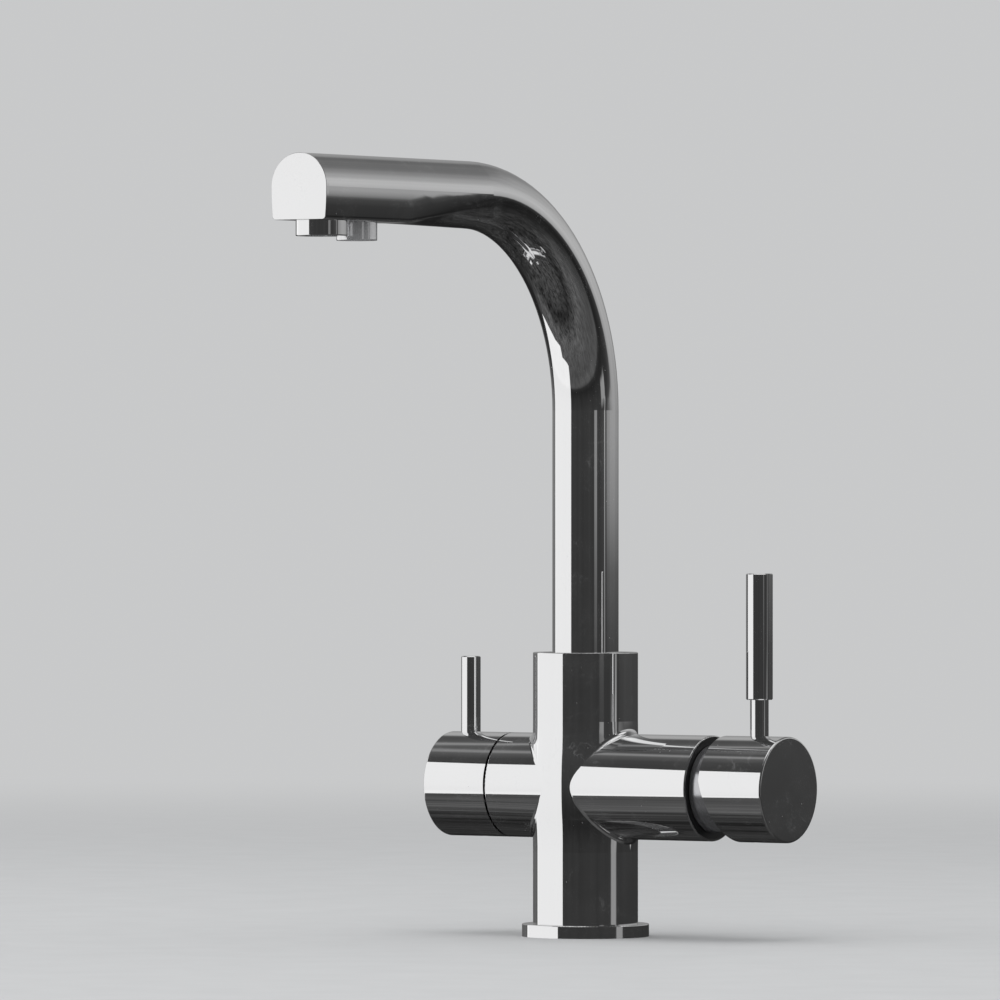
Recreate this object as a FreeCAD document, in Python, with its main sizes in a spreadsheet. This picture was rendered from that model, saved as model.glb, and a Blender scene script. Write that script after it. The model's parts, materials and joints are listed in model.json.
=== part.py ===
"""A three-way kitchen mixer tap: an upright body with two arms, a tilting mixer handle,
a quarter-turn filter handle and a swivel spout with two outlets.

Millimetres. +Z is up, the origin is on the body's axis at the deck, the spout points to -Y
and the mixer handle to +X.
"""

import FreeCAD, Part
import math
import os
from types import SimpleNamespace

import Sketcher
from FreeCAD import Placement, Rotation, Vector

# Driving dimensions, one cell each
SIZES = {
    # Shared clearances and edges
    "overrun": 1.0,
    "seat_gap": 0.02,
    "running_gap": 0.06,
    "clear_gap": 0.4,
    "edge_radius": 0.5,
    # Flange on the deck
    "flange_diameter": 60.5,
    "flange_height": 6.1,
    "spigot_diameter": 44.0,
    "base_seal_diameter": 54.0,
    "base_seal_width": 3.0,
    "base_seal_thickness": 2.5,
    # Body and its two arms
    "body_diameter": 50.0,
    "body_height": 135.2,
    "body_swell": 1.2,
    "body_swell_length": 62.0,
    "arm_diameter": 50.0,
    "arm_height": 71.5,
    "mixer_arm_reach": 72.7,
    "filter_arm_reach": 41.3,
    "saddle_fillet": 2.5,
    # Sockets under the body and the water ways in it
    "stud_diameter": 8.0,
    "stud_depth": 24.0,
    "hose_thread_diameter": 10.0,
    "hose_thread_depth": 14.0,
    "hose_circle_diameter": 22.0,
    "supply_passage_diameter": 7.0,
    "cartridge_passage_diameter": 5.0,
    "supply_spread": 12.4,
    "supply_passage_rise": 3.0,
    "mixed_passage_offset": 10.0,
    "mixed_passage_drop": 3.5,
    "filter_passage_diameter": 5.0,
    "filter_passage_offset": 4.8,
    # Swivel joint of the spout
    "tube_diameter": 31.6,
    "tube_wall": 1.5,
    "tube_seat_depth": 8.0,
    "socket_depth": 37.2,
    "hub_diameter": 24.0,
    "hub_bore_diameter": 18.0,
    "hub_lift": 3.0,
    "hub_collar_length": 20.0,
    "slip_ring_thickness": 1.4,
    "slip_ring_gap": 0.3,
    "o_ring_section": 1.8,
    "o_ring_inset": 3.5,
    "lock_drop": 23.2,
    "lock_screw_diameter": 5.0,
    "lock_screw_length": 11.0,
    "lock_tip_diameter": 3.2,
    "lock_groove_depth": 1.4,
    "lock_groove_width": 4.6,
    "hex_socket_diameter": 2.5,
    "hex_socket_depth": 2.5,
    # Spout
    "bend_radius": 100.0,
    "spout_height": 350.2,
    "head_lead": 22.1,
    "outlet_spacing": 27.7,
    "end_margin": 17.9,
    "head_width": 31.0,
    "head_height": 30.6,
    "head_side_radius": 140.0,
    "head_corner_radius": 1.8,
    "crease_upper_drop": 4.2,
    "crease_lower_drop": 6.0,
    "cap_thickness": 2.0,
    "cap_chamfer": 0.15,
    # Outlets under the spout's head
    "main_outlet_diameter": 23.9,
    "main_outlet_drop": 7.1,
    "main_thread_diameter": 21.0,
    "aerator_wall": 1.6,
    "aerator_lip": 1.1,
    "aerator_hole_diameter": 1.3,
    "aerator_ring_spacing": 2.6,
    "filter_outlet_reach": 188.1,
    "filter_outlet_diameter": 18.9,
    "filter_outlet_drop": 8.6,
    "filter_thread_diameter": 13.0,
    "nozzle_bore_diameter": 9.0,
    "nozzle_insert_depth": 5.0,
    "nozzle_hole_diameter": 1.6,
    "boss_wall": 1.3,
    "boss_height": 6.8,
    "boss_shoulder": 1.4,
    "thread_engagement": 4.0,
    "gasket_thickness": 1.2,
    # Filter tube inside the spout
    "filter_tube_diameter": 8.0,
    "filter_tube_wall": 1.0,
    "filter_tube_engagement": 8.0,
    "filter_tube_turn_radius": 6.5,
    # Mixer cartridge in the right arm
    "nut_inset": 2.5,
    "nut_diameter": 38.8,
    "nut_length": 6.0,
    "nut_bore_diameter": 26.0,
    "nut_thread_depth": 12.7,
    "nut_slot_width": 4.0,
    "nut_slot_depth": 2.0,
    "cartridge_diameter": 34.9,
    "cartridge_length": 29.0,
    "cartridge_wall": 2.4,
    "cartridge_floor": 3.0,
    "cartridge_seal_thickness": 1.0,
    "cartridge_seal_width": 1.2,
    "cartridge_port_diameter": 4.0,
    "disc_thickness": 4.0,
    "disc_gap": 0.05,
    "moving_disc_diameter": 18.4,
    "mixing_pocket_diameter": 12.0,
    "mixing_pocket_drop": 2.5,
    "carriage_width": 12.0,
    "carriage_length": 14.0,
    "rail_width": 4.0,
    "rail_length": 16.0,
    "rail_height": 8.0,
    "carrier_neck_diameter": 24.8,
    "carrier_neck_overhang": 0.8,
    "pivot_inset": 4.7,
    "pivot_pin_diameter": 3.0,
    "pivot_pin_length": 20.0,
    "stem_width": 7.0,
    "stem_arm": 12.0,
    "stem_heel": 7.0,
    "stem_shank_diameter": 4.0,
    "ball_diameter": 6.0,
    "ball_clearance": 0.5,
    "tilt_slot_length": 16.6,
    "arm_lip": 0.8,
    "arm_ring_inset": 0.5,
    "cover_diameter": 41.4,
    "cover_wall": 1.5,
    "cover_length": 9.0,
    "cover_dome_length": 4.0,
    "cover_opening_diameter": 32.0,
    # Mixer handle
    "handle_diameter": 50.0,
    "handle_edge_radius": 0.8,
    "handle_wall": 2.3,
    "handle_end_wall": 6.0,
    "mixer_handle_gap": 7.5,
    "mixer_handle_length": 34.9,
    "mixer_handle_relief": 9.0,
    "mixer_relief_start": 4.5,
    "mixer_boss_inset": 11.8,
    "mixer_boss_diameter": 16.0,
    "stem_engagement": 11.0,
    "mixer_lever_inset": 16.5,
    "lever_neck_diameter": 8.7,
    "lever_neck_height": 42.2,
    "lever_stub_length": 12.0,
    "lever_seat_height": 5.0,
    "grip_diameter": 12.6,
    "grip_length": 59.3,
    "grip_chamfer": 0.4,
    "handle_screw_diameter": 5.0,
    "handle_screw_access_diameter": 6.0,
    # Filter valve in the left arm and its handle
    "valve_bore_depth": 24.3,
    "valve_diameter": 19.9,
    "valve_wall": 1.9,
    "valve_flange_diameter": 27.8,
    "valve_flange_length": 6.3,
    "valve_flange_inset": 1.0,
    "valve_seal_thickness": 1.9,
    "valve_disc_thickness": 3.0,
    "valve_groove_width": 4.0,
    "valve_disc_clearance": 0.3,
    "spindle_drive_length": 3.2,
    "spindle_diameter": 8.0,
    "spindle_square": 6.0,
    "spindle_overhang": 20.0,
    "spindle_shoulder_overhang": 6.0,
    "spindle_ring_section": 1.4,
    "filter_handle_gap": 0.9,
    "filter_handle_length": 34.7,
    "filter_boss_diameter": 15.0,
    "filter_boss_inset": 2.4,
    "filter_lever_inset": 10.6,
    "filter_lever_diameter": 9.3,
    "filter_lever_height": 61.2,
    "filter_screw_inset": 14.0,
}

# The hot and cold hoses stand at sixty degrees to the mixer arm
SUPPLY_X_SHARE = 0.5
SUPPLY_Y_SHARE = math.sqrt(3) / 2
# Holes in each ring of the aerator's and the nozzle's screen
AERATOR_RINGS = (1, 6, 12)
NOZZLE_HOLES = 6
NOZZLE_RING_SHARE = 0.55
FULL_TURN = 360


class Size:
    """A size: its formula over the sheet's cells, and its value as the sheet stands."""

    def __init__(self, formula, value):
        self.formula = formula
        self.value = value

    def __add__(self, other):
        return Size(f"({self.formula} + {formula(other)})", self.value + value(other))

    def __sub__(self, other):
        return Size(f"({self.formula} - {formula(other)})", self.value - value(other))

    def __mul__(self, other):
        return Size(f"({self.formula} * {formula(other)})", self.value * value(other))

    def __truediv__(self, other):
        return Size(f"({self.formula} / {formula(other)})", self.value / value(other))

    def __neg__(self):
        return Size(f"(0 - {self.formula})", -self.value)


def formula(size):
    return size.formula if isinstance(size, Size) else repr(size)


def value(size):
    return size.value if isinstance(size, Size) else size


def leg(hypotenuse, other):
    """The other short side of a right triangle."""
    square = hypotenuse * hypotenuse - other * other
    return Size(f"sqrt({square.formula})", math.sqrt(square.value))


doc = FreeCAD.newDocument("Tap")
sheet = doc.addObject("Spreadsheet::Sheet", "Sizes")
for row, (alias, number) in enumerate(SIZES.items(), 1):
    sheet.set(f"A{row}", alias)
    sheet.set(f"B{row}", str(number))
    sheet.setAlias(f"B{row}", alias)
doc.recompute()
d = SimpleNamespace(**{alias: Size(f"Sizes.{alias}", float(sheet.get(alias))) for alias in SIZES})
sub_parts = []

# Rotations that stand a shape's own Z axis along a direction
STAND = {
    "+Z": Rotation(),
    "+X": Rotation(Vector(0, 1, 0), 90),
    "-X": Rotation(Vector(0, 1, 0), -90),
    "+Y": Rotation(Vector(1, 0, 0), -90),
}
# Rotations about Z that carry a body's own X axis to a side of the tap
TOWARDS = {
    "+X": Rotation(),
    "-X": Rotation(Vector(0, 0, 1), 180),
    "-Y": Rotation(Vector(0, 0, 1), -90),
}


def bind(thing, prop, size):
    """Ties a property to a formula. A plain zero needs no tie."""
    if isinstance(size, Size):
        thing.setExpression(prop, size.formula)


def locate(thing, place, rotation=Rotation()):
    thing.Placement = Placement(Vector(*[value(c) for c in place]), rotation)
    for letter, coordinate in zip("xyz", place):
        bind(thing, f"Placement.Base.{letter}", coordinate)
    return thing


def keep(thing, label):
    """Makes a finished shape one of the tap's sub-parts."""
    thing.Label = label
    sub_parts.append(thing)
    return thing


def cylinder(name, radius, length, place=(0, 0, 0), along="+Z"):
    made = doc.addObject("Part::Cylinder", name)
    bind(made, "Radius", radius)
    bind(made, "Height", length)
    return locate(made, place, STAND[along])


def box(name, sides, corner):
    made = doc.addObject("Part::Box", name)
    for prop, side in zip(("Length", "Width", "Height"), sides):
        bind(made, prop, side)
    return locate(made, corner)


def torus(name, ring_radius, section_radius, place, along="+Z"):
    made = doc.addObject("Part::Torus", name)
    bind(made, "Radius1", ring_radius)
    bind(made, "Radius2", section_radius)
    return locate(made, place, STAND[along])


def fuse(name, *shapes):
    made = doc.addObject("Part::MultiFuse", name)
    made.Shapes = list(shapes)
    return made


def group(name, *shapes):
    made = doc.addObject("Part::Compound", name)
    made.Links = list(shapes)
    return made


def cut(name, base, *tools):
    made = doc.addObject("Part::Cut", name)
    made.Base = base
    made.Tool = tools[0] if len(tools) == 1 else fuse(f"{name}Tools", *tools)
    return made


def new_body(name, place=(0, 0, 0), towards="+X"):
    return locate(doc.addObject("PartDesign::Body", name), place, TOWARDS[towards])


def new_sketch(body, role, across=0, up=0, out=0):
    """A sketch on one of the body's own planes, shifted in and out of that plane."""
    sketch = body.newObject("Sketcher::SketchObject", f"{body.Name}Sketch")
    plane = next(f for f in body.Origin.OriginFeatures if f.Role == role)
    sketch.AttachmentSupport = [(plane, "")]
    sketch.MapMode = "FlatFace"
    shift = (across, up, out)
    sketch.AttachmentOffset = Placement(Vector(*[value(c) for c in shift]), Rotation())
    for letter, coordinate in zip("xyz", shift):
        bind(sketch, f"AttachmentOffset.Base.{letter}", coordinate)
    return sketch


def dimension(sketch, kind, *where, size):
    """Adds a dimension to a sketch and ties it to the sheet."""
    index = sketch.addConstraint(Sketcher.Constraint(kind, *where, value(size)))
    sketch.setExpression(f"Constraints[{index}]", size.formula)


def pin(sketch, edge, end, point):
    """Fixes an end of an edge at a point of the sketch."""
    for coordinate, kind, axis in zip(point, ("DistanceX", "DistanceY"), (-2, -1)):
        if isinstance(coordinate, Size):
            dimension(sketch, kind, edge, end, size=coordinate)
        else:
            sketch.addConstraint(Sketcher.Constraint("PointOnObject", edge, end, axis))


def arc_between(start, end, radius, turn):
    """The short arc from start to end that turns left or right on its way."""
    chord = end - start
    side = Vector(-chord.y, chord.x, 0).normalize() * (1 if turn == "left" else -1)
    middle = (start + end) / 2
    sagitta = radius - math.sqrt(radius**2 - (chord.Length / 2) ** 2)
    return Part.Arc(start, middle - side * sagitta, end)


def draw(sketch, corners, turns=None, closed=True):
    """Draws lines and arcs through the corners. turns gives ("left" or "right", radius)
    for each stretch that is an arc, by the number of the corner where it starts."""
    turns = turns or {}
    spots = [Vector(value(x), value(y), 0) for x, y in corners]
    count = len(corners) if closed else len(corners) - 1
    edges = []
    for i in range(count):
        start, end = spots[i], spots[(i + 1) % len(spots)]
        if i in turns:
            turn, radius = turns[i]
            edge = sketch.addGeometry(arc_between(start, end, value(radius), turn))
            ends = (1, 2) if turn == "left" else (2, 1)
        else:
            edge = sketch.addGeometry(Part.LineSegment(start, end))
            ends = (1, 2)
        edges.append((edge, ends))
    for i, (edge, ends) in enumerate(edges):
        pin(sketch, edge, ends[0], corners[i])
        following = edges[(i + 1) % len(edges)]
        if closed or i + 1 < count:
            joint = (edge, ends[1], following[0], following[1][0])
            sketch.addConstraint(Sketcher.Constraint("Coincident", *joint))
        else:
            pin(sketch, edge, ends[1], corners[-1])
        if i in turns:
            dimension(sketch, "Radius", edge, size=turns[i][1])
    return sketch


def draw_circle(sketch, radius, centre=(0, 0)):
    middle = Vector(*[value(c) for c in centre], 0)
    edge = sketch.addGeometry(Part.Circle(middle, Vector(0, 0, 1), value(radius)))
    pin(sketch, edge, 3, centre)
    dimension(sketch, "Radius", edge, size=radius)
    return sketch


def revolve(body, sketch, axis):
    turned = body.newObject("PartDesign::Revolution", f"{body.Name}Turned")
    turned.Profile = sketch
    turned.ReferenceAxis = (sketch, [axis])
    turned.Angle = FULL_TURN
    return turned


def lathe(name, corners, along="+Z", turns=None):
    """A turned piece about the tap's upright axis, with corners of (radius, height), or
    about an arm's axis, with corners of (distance from the upright axis, radius)."""
    if along == "+Z":
        body = new_body(name)
    else:
        body = new_body(name, (0, 0, d.arm_height), along)
    sketch = draw(new_sketch(body, "XZ_Plane"), corners, turns)
    revolve(body, sketch, "V_Axis" if along == "+Z" else "H_Axis")
    return body


def ring(inner, outer, low, high):
    """The four corners of an upright ring or, with no inner radius, of a disc."""
    return [(inner, low), (outer, low), (outer, high), (inner, high)]


def sleeve(inner, outer, near, far):
    """The four corners of a ring that lies along an arm."""
    return [(near, inner), (far, inner), (far, outer), (near, outer)]


def half(size):
    return size / 2


# Radii that several pieces share
flange_r = half(d.flange_diameter)
spigot_r = half(d.spigot_diameter)
body_r = half(d.body_diameter)
arm_r = half(d.arm_diameter)
tube_r = half(d.tube_diameter)
tube_bore_r = tube_r - d.tube_wall
hub_r = half(d.hub_diameter)
hub_socket_r = hub_r + d.running_gap
filter_tube_r = half(d.filter_tube_diameter)
hose_circle_r = half(d.hose_circle_diameter)
supply_r = half(d.supply_passage_diameter)
cartridge_way_r = half(d.cartridge_passage_diameter)
filter_way_r = half(d.filter_passage_diameter)

# Heights of the spout's joint
tube_seat = d.body_height - d.tube_seat_depth
tube_foot = tube_seat + d.slip_ring_thickness + d.slip_ring_gap
socket_floor = d.body_height - d.socket_depth
hub_foot = socket_floor + d.hub_lift
filter_tube_foot = socket_floor - d.filter_tube_engagement
lock_height = d.body_height - d.lock_drop
bend_start = d.spout_height - d.bend_radius
head_top = d.spout_height + tube_r
head_arc_r = half(d.head_width)
head_arc_height = head_top - head_arc_r
head_floor = head_top - d.head_height
# The head grows from its two outlets
head_start = d.filter_outlet_reach - d.head_lead
main_outlet_reach = d.filter_outlet_reach + d.outlet_spacing
head_end = main_outlet_reach + d.end_margin - d.cap_thickness

# Distances along the mixer arm
pivot_x = d.mixer_arm_reach - d.pivot_inset
nut_far = d.mixer_arm_reach - d.nut_inset
nut_near = nut_far - d.nut_length
cartridge_far = nut_near - d.seat_gap
cartridge_near = cartridge_far - d.cartridge_length
cartridge_seat = cartridge_near - d.cartridge_seal_thickness
cartridge_r = half(d.cartridge_diameter)
cavity_r = cartridge_r - d.cartridge_wall
nut_r = half(d.nut_diameter)
nut_socket_r = nut_r + d.running_gap
arm_ring_r = arm_r - d.arm_lip
cavity_near = cartridge_near + d.cartridge_floor
fixed_disc_near = cavity_near + d.seat_gap
fixed_disc_far = fixed_disc_near + d.disc_thickness
moving_disc_near = fixed_disc_far + d.disc_gap
moving_disc_far = moving_disc_near + d.disc_thickness
ball_x = pivot_x - d.stem_arm
carriage_far = ball_x + half(d.ball_diameter)
carrier_near = carriage_far + d.clear_gap
carrier_step = cartridge_far - d.clear_gap
carrier_far = d.mixer_arm_reach + d.carrier_neck_overhang
mixer_rear = d.mixer_arm_reach + d.mixer_handle_gap
mixer_end = mixer_rear + d.mixer_handle_length
mixer_boss_near = mixer_rear + d.mixer_boss_inset
mixer_lever_x = mixer_end - d.mixer_lever_inset
handle_r = half(d.handle_diameter)
handle_bore_r = handle_r - d.handle_wall

# Distances along the filter arm
valve_r = half(d.valve_diameter)
valve_bore_r = valve_r + d.running_gap
valve_floor = d.filter_arm_reach - d.valve_bore_depth
valve_flange_r = half(d.valve_flange_diameter)
valve_flange_far = d.filter_arm_reach - d.valve_flange_inset
valve_flange_near = valve_flange_far - d.valve_flange_length
valve_near = valve_floor + d.valve_seal_thickness + d.seat_gap * 2
valve_cavity_r = valve_r - d.valve_wall
valve_disc_far = valve_near + d.valve_disc_thickness
turning_disc_near = valve_disc_far + d.disc_gap
turning_disc_far = turning_disc_near + d.valve_disc_thickness
turning_disc_r = valve_cavity_r - d.valve_disc_clearance
drive_near = turning_disc_far + d.seat_gap
drive_far = drive_near + d.spindle_drive_length
valve_step = drive_far + d.valve_disc_clearance
spindle_r = half(d.spindle_diameter)
spindle_shoulder = d.filter_arm_reach + d.spindle_shoulder_overhang
spindle_far = d.filter_arm_reach + d.spindle_overhang
filter_rear = d.filter_arm_reach + d.filter_handle_gap
filter_end = filter_rear + d.filter_handle_length
filter_boss_near = filter_rear + d.filter_boss_inset
filter_lever_x = filter_end - d.filter_lever_inset
filter_screw_x = filter_rear + d.filter_screw_inset

# Hot and cold hoses to the mixer's side, the filter hose to the other
SUPPLY_SIDES = (1, -1)
supply_x = hose_circle_r * SUPPLY_X_SHARE
supply_y = hose_circle_r * SUPPLY_Y_SHARE
supply_height = d.arm_height + d.supply_passage_rise
mixed_height = d.arm_height - d.mixed_passage_drop
# Where the hot, cold and mixed ports of the cartridge lie, across and up
cartridge_spots = [(half(d.supply_spread) * side, supply_height) for side in SUPPLY_SIDES]
cartridge_spots.append((0, mixed_height))
# Where water goes into and out of the filter valve
filter_way_heights = [
    d.arm_height - d.filter_passage_offset,
    d.arm_height + d.filter_passage_offset,
]


def body_outside():
    """The upright, which swells a little at the arms, and the two arms, with rounded saddles
    where they meet."""
    body = new_body("BodyOutside")
    c = d.edge_radius
    swell_reach = half(d.body_swell_length)
    swell_side_r = body_r + half(d.body_swell)
    swell_bend_r = (swell_reach * swell_reach + d.body_swell * d.body_swell) / (d.body_swell * 4)
    upright = [
        (0, 0),
        (spigot_r, 0),
        (spigot_r, d.flange_height),
        (body_r, d.flange_height),
        (body_r, d.arm_height - swell_reach),
        (swell_side_r, d.arm_height - half(swell_reach)),
        (swell_side_r, d.arm_height + half(swell_reach)),
        (body_r, d.arm_height + swell_reach),
        (body_r, d.body_height - c),
        (body_r - c, d.body_height),
        (0, d.body_height),
    ]
    bends = {
        4: ("right", swell_bend_r),
        5: ("left", swell_bend_r),
        6: ("right", swell_bend_r),
        8: ("left", c),
    }
    revolve(body, draw(new_sketch(body, "YZ_Plane"), upright, bends), "V_Axis")
    span = d.filter_arm_reach + d.mixer_arm_reach
    arms = [(0, 0), (0, arm_r - c), (c, arm_r), (span - c, arm_r), (span, arm_r - c), (span, 0)]
    sketch = new_sketch(body, "XZ_Plane", across=-d.filter_arm_reach, up=d.arm_height)
    rounds = {1: ("right", c), 3: ("right", c)}
    crossed = revolve(body, draw(sketch, arms, rounds), "H_Axis")
    doc.recompute()
    saddles = [
        f"Edge{i}"
        for i, edge in enumerate(crossed.Shape.Edges, 1)
        if isinstance(edge.Curve, Part.BSplineCurve)
    ]
    rounded = body.newObject("PartDesign::Fillet", "Saddles")
    rounded.Base = (crossed, saddles)
    bind(rounded, "Radius", d.saddle_fillet)
    return body


def water_ways():
    """The drilled passages from the hoses to the valves and on to the spout."""
    ways = []
    for side in SUPPLY_SIDES:
        y = supply_y * side
        rise = supply_height + cartridge_way_r + d.overrun
        run = cartridge_seat - supply_x + d.overrun
        run_start = (supply_x, half(d.supply_spread) * side, supply_height)
        ways += [
            cylinder("HoseThread", half(d.hose_thread_diameter), d.hose_thread_depth, (supply_x, y, 0)),
            cylinder("SupplyRise", supply_r, rise, (supply_x, y, 0)),
            cylinder("SupplyRun", cartridge_way_r, run, run_start, "+X"),
        ]
    mixed_x = d.mixed_passage_offset
    mixed_run = cartridge_seat - mixed_x + d.overrun
    mixed_rise = socket_floor - mixed_height + d.overrun
    filter_in, filter_out = filter_way_heights
    inlet_rise = filter_in + filter_way_r + d.overrun
    inlet_run = valve_floor - hose_circle_r + d.overrun
    outlet_run = valve_floor + d.overrun
    drill_length = d.body_height - filter_out
    riser_r = filter_tube_r + d.running_gap
    riser_length = d.filter_tube_engagement + d.clear_gap + d.overrun
    ways += [
        cylinder("MixedRun", cartridge_way_r, mixed_run, (mixed_x, 0, mixed_height), "+X"),
        cylinder("MixedRise", cartridge_way_r, mixed_rise, (mixed_x, 0, mixed_height)),
        cylinder("FilterThread", half(d.hose_thread_diameter), d.hose_thread_depth, (-hose_circle_r, 0, 0)),
        cylinder("FilterRise", supply_r, inlet_rise, (-hose_circle_r, 0, 0)),
        cylinder("FilterIn", filter_way_r, inlet_run, (-hose_circle_r, 0, filter_in), "-X"),
        cylinder("FilterOut", filter_way_r, outlet_run, (0, 0, filter_out), "-X"),
        cylinder("FilterDrill", filter_way_r, drill_length, (0, 0, filter_out)),
        cylinder("FilterRiser", riser_r, riser_length, (0, 0, filter_tube_foot - d.clear_gap)),
        cylinder("StudSocket", half(d.stud_diameter), d.stud_depth),
    ]
    return ways


def body_casting():
    beyond = d.mixer_arm_reach + d.overrun
    thread_near = d.mixer_arm_reach - d.nut_thread_depth
    seat_r = cartridge_r + d.running_gap
    cartridge_bore = [
        (cartridge_seat, 0),
        (cartridge_seat, seat_r),
        (thread_near, seat_r),
        (thread_near, nut_socket_r),
        (nut_far, nut_socket_r),
        (nut_far, arm_ring_r + d.seat_gap),
        (beyond, arm_ring_r + d.seat_gap),
        (beyond, 0),
    ]
    flange_seat = valve_flange_near - d.seat_gap
    recess_r = valve_flange_r + d.running_gap
    outside = d.filter_arm_reach + d.overrun
    valve_bore = [
        (valve_floor, 0),
        (valve_floor, valve_bore_r),
        (flange_seat, valve_bore_r),
        (flange_seat, recess_r),
        (outside, recess_r),
        (outside, 0),
    ]
    above = d.body_height + d.overrun
    tube_socket_r = tube_r + d.running_gap
    spout_socket = [
        (0, socket_floor),
        (hub_socket_r, socket_floor),
        (hub_socket_r, tube_seat),
        (tube_socket_r, tube_seat),
        (tube_socket_r, above),
        (0, above),
    ]
    screw_hole_r = half(d.lock_screw_diameter)
    casting = cut(
        "BodyCasting",
        body_outside(),
        lathe("CartridgeBore", cartridge_bore, "+X"),
        lathe("ValveBore", valve_bore, "-X"),
        lathe("SpoutSocket", spout_socket),
        cylinder("LockHole", screw_hole_r, body_r + d.overrun, (0, 0, lock_height), "+Y"),
        *water_ways(),
    )
    return keep(casting, "body_casting")


def base_pieces():
    inner = spigot_r + d.seat_gap
    seal_outer = half(d.base_seal_diameter)
    seal_inner = seal_outer - d.base_seal_width
    roof = d.base_seal_thickness + d.seat_gap
    c = d.edge_radius
    top = d.flange_height - d.seat_gap
    flange = [
        (inner, 0),
        (seal_inner - d.seat_gap, 0),
        (seal_inner - d.seat_gap, roof),
        (seal_outer + d.seat_gap, roof),
        (seal_outer + d.seat_gap, 0),
        (flange_r, 0),
        (flange_r, top - c),
        (flange_r - c, top),
        (inner, top),
    ]
    keep(lathe("BaseFlange", flange, turns={6: ("left", c)}), "base_flange")
    keep(lathe("BaseSeal", ring(seal_inner, seal_outer, 0, d.base_seal_thickness)), "base_seal")


def cartridge_ports(name, radius, near, far):
    """Hot, cold and mixed holes through a plate of the cartridge."""
    length = far - near + d.overrun * 2
    start = near - d.overrun
    return [cylinder(name, radius, length, (start, *spot), "+X") for spot in cartridge_spots]


def cartridge_fixed_pieces():
    housing = [
        (cartridge_near, 0),
        (cartridge_near, cartridge_r),
        (cartridge_far, cartridge_r),
        (cartridge_far, cavity_r),
        (cavity_near, cavity_r),
        (cavity_near, 0),
    ]
    port_r = half(d.cartridge_port_diameter)
    ports = cartridge_ports("CupPort", port_r, cartridge_near, cavity_near)
    cup = lathe("CartridgeCup", housing, "+X")
    keep(cut("CartridgeHousing", cup, *ports), "cartridge_housing")

    plate = sleeve(0, cavity_r - d.seat_gap, fixed_disc_near, fixed_disc_far)
    ports = cartridge_ports("DiscPort", port_r, fixed_disc_near, fixed_disc_far)
    disc = lathe("FixedPlate", plate, "+X")
    keep(cut("FixedCeramicDisc", disc, *ports), "fixed_ceramic_disc")

    length = d.cartridge_seal_thickness - d.seat_gap * 2
    near = cartridge_seat + d.seat_gap
    seal_r = cartridge_way_r + d.cartridge_seal_width
    holes = cartridge_ports("SealHole", cartridge_way_r, cartridge_seat, cartridge_near)
    rings = [
        cut("CartridgeSeal", cylinder("SealDisc", seal_r, length, (near, *spot), "+X"), hole)
        for spot, hole in zip(cartridge_spots, holes)
    ]
    keep(group("CartridgeSeals", *rings), "cartridge_seals")

    nut = lathe("NutRing", sleeve(half(d.nut_bore_diameter), nut_r, nut_near, nut_far), "+X")
    slots = [
        box(
            "NutSlot",
            (d.nut_slot_depth + d.overrun, d.nut_slot_width, d.nut_diameter + d.overrun * 2),
            (nut_far - d.nut_slot_depth, -half(d.nut_slot_width), d.arm_height - nut_r - d.overrun),
        ),
        box(
            "NutSlot",
            (d.nut_slot_depth + d.overrun, d.nut_diameter + d.overrun * 2, d.nut_slot_width),
            (nut_far - d.nut_slot_depth, -nut_r - d.overrun, d.arm_height - half(d.nut_slot_width)),
        ),
    ]
    keep(cut("CartridgeNut", nut, *slots), "cartridge_nut")

    # A plain ring closes the arm's mouth round the cover, which goes on into the handle
    spigot = nut_far + d.seat_gap
    arm_ring = sleeve(nut_socket_r, arm_ring_r, spigot, d.mixer_arm_reach - d.arm_ring_inset)
    keep(lathe("MixerArmRing", arm_ring, "+X"), "mixer_arm_ring")
    outer = half(d.cover_diameter)
    inner = outer - d.cover_wall
    opening = half(d.cover_opening_diameter)
    near = d.mixer_arm_reach + d.seat_gap
    bend = d.mixer_arm_reach + d.cover_length
    far = bend + d.cover_dome_length
    spigot_outer = nut_r - d.seat_gap
    cover = [
        (spigot, inner - d.cover_wall),
        (spigot, spigot_outer),
        (near, spigot_outer),
        (near, outer),
        (bend, outer),
        (far, opening),
        (far - d.cover_wall, opening - d.cover_wall),
        (bend - d.cover_wall, inner),
        (near + d.cover_wall, inner),
        (near + d.cover_wall, inner - d.cover_wall),
    ]
    keep(lathe("CartridgeCover", cover, "+X"), "cartridge_cover")


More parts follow.
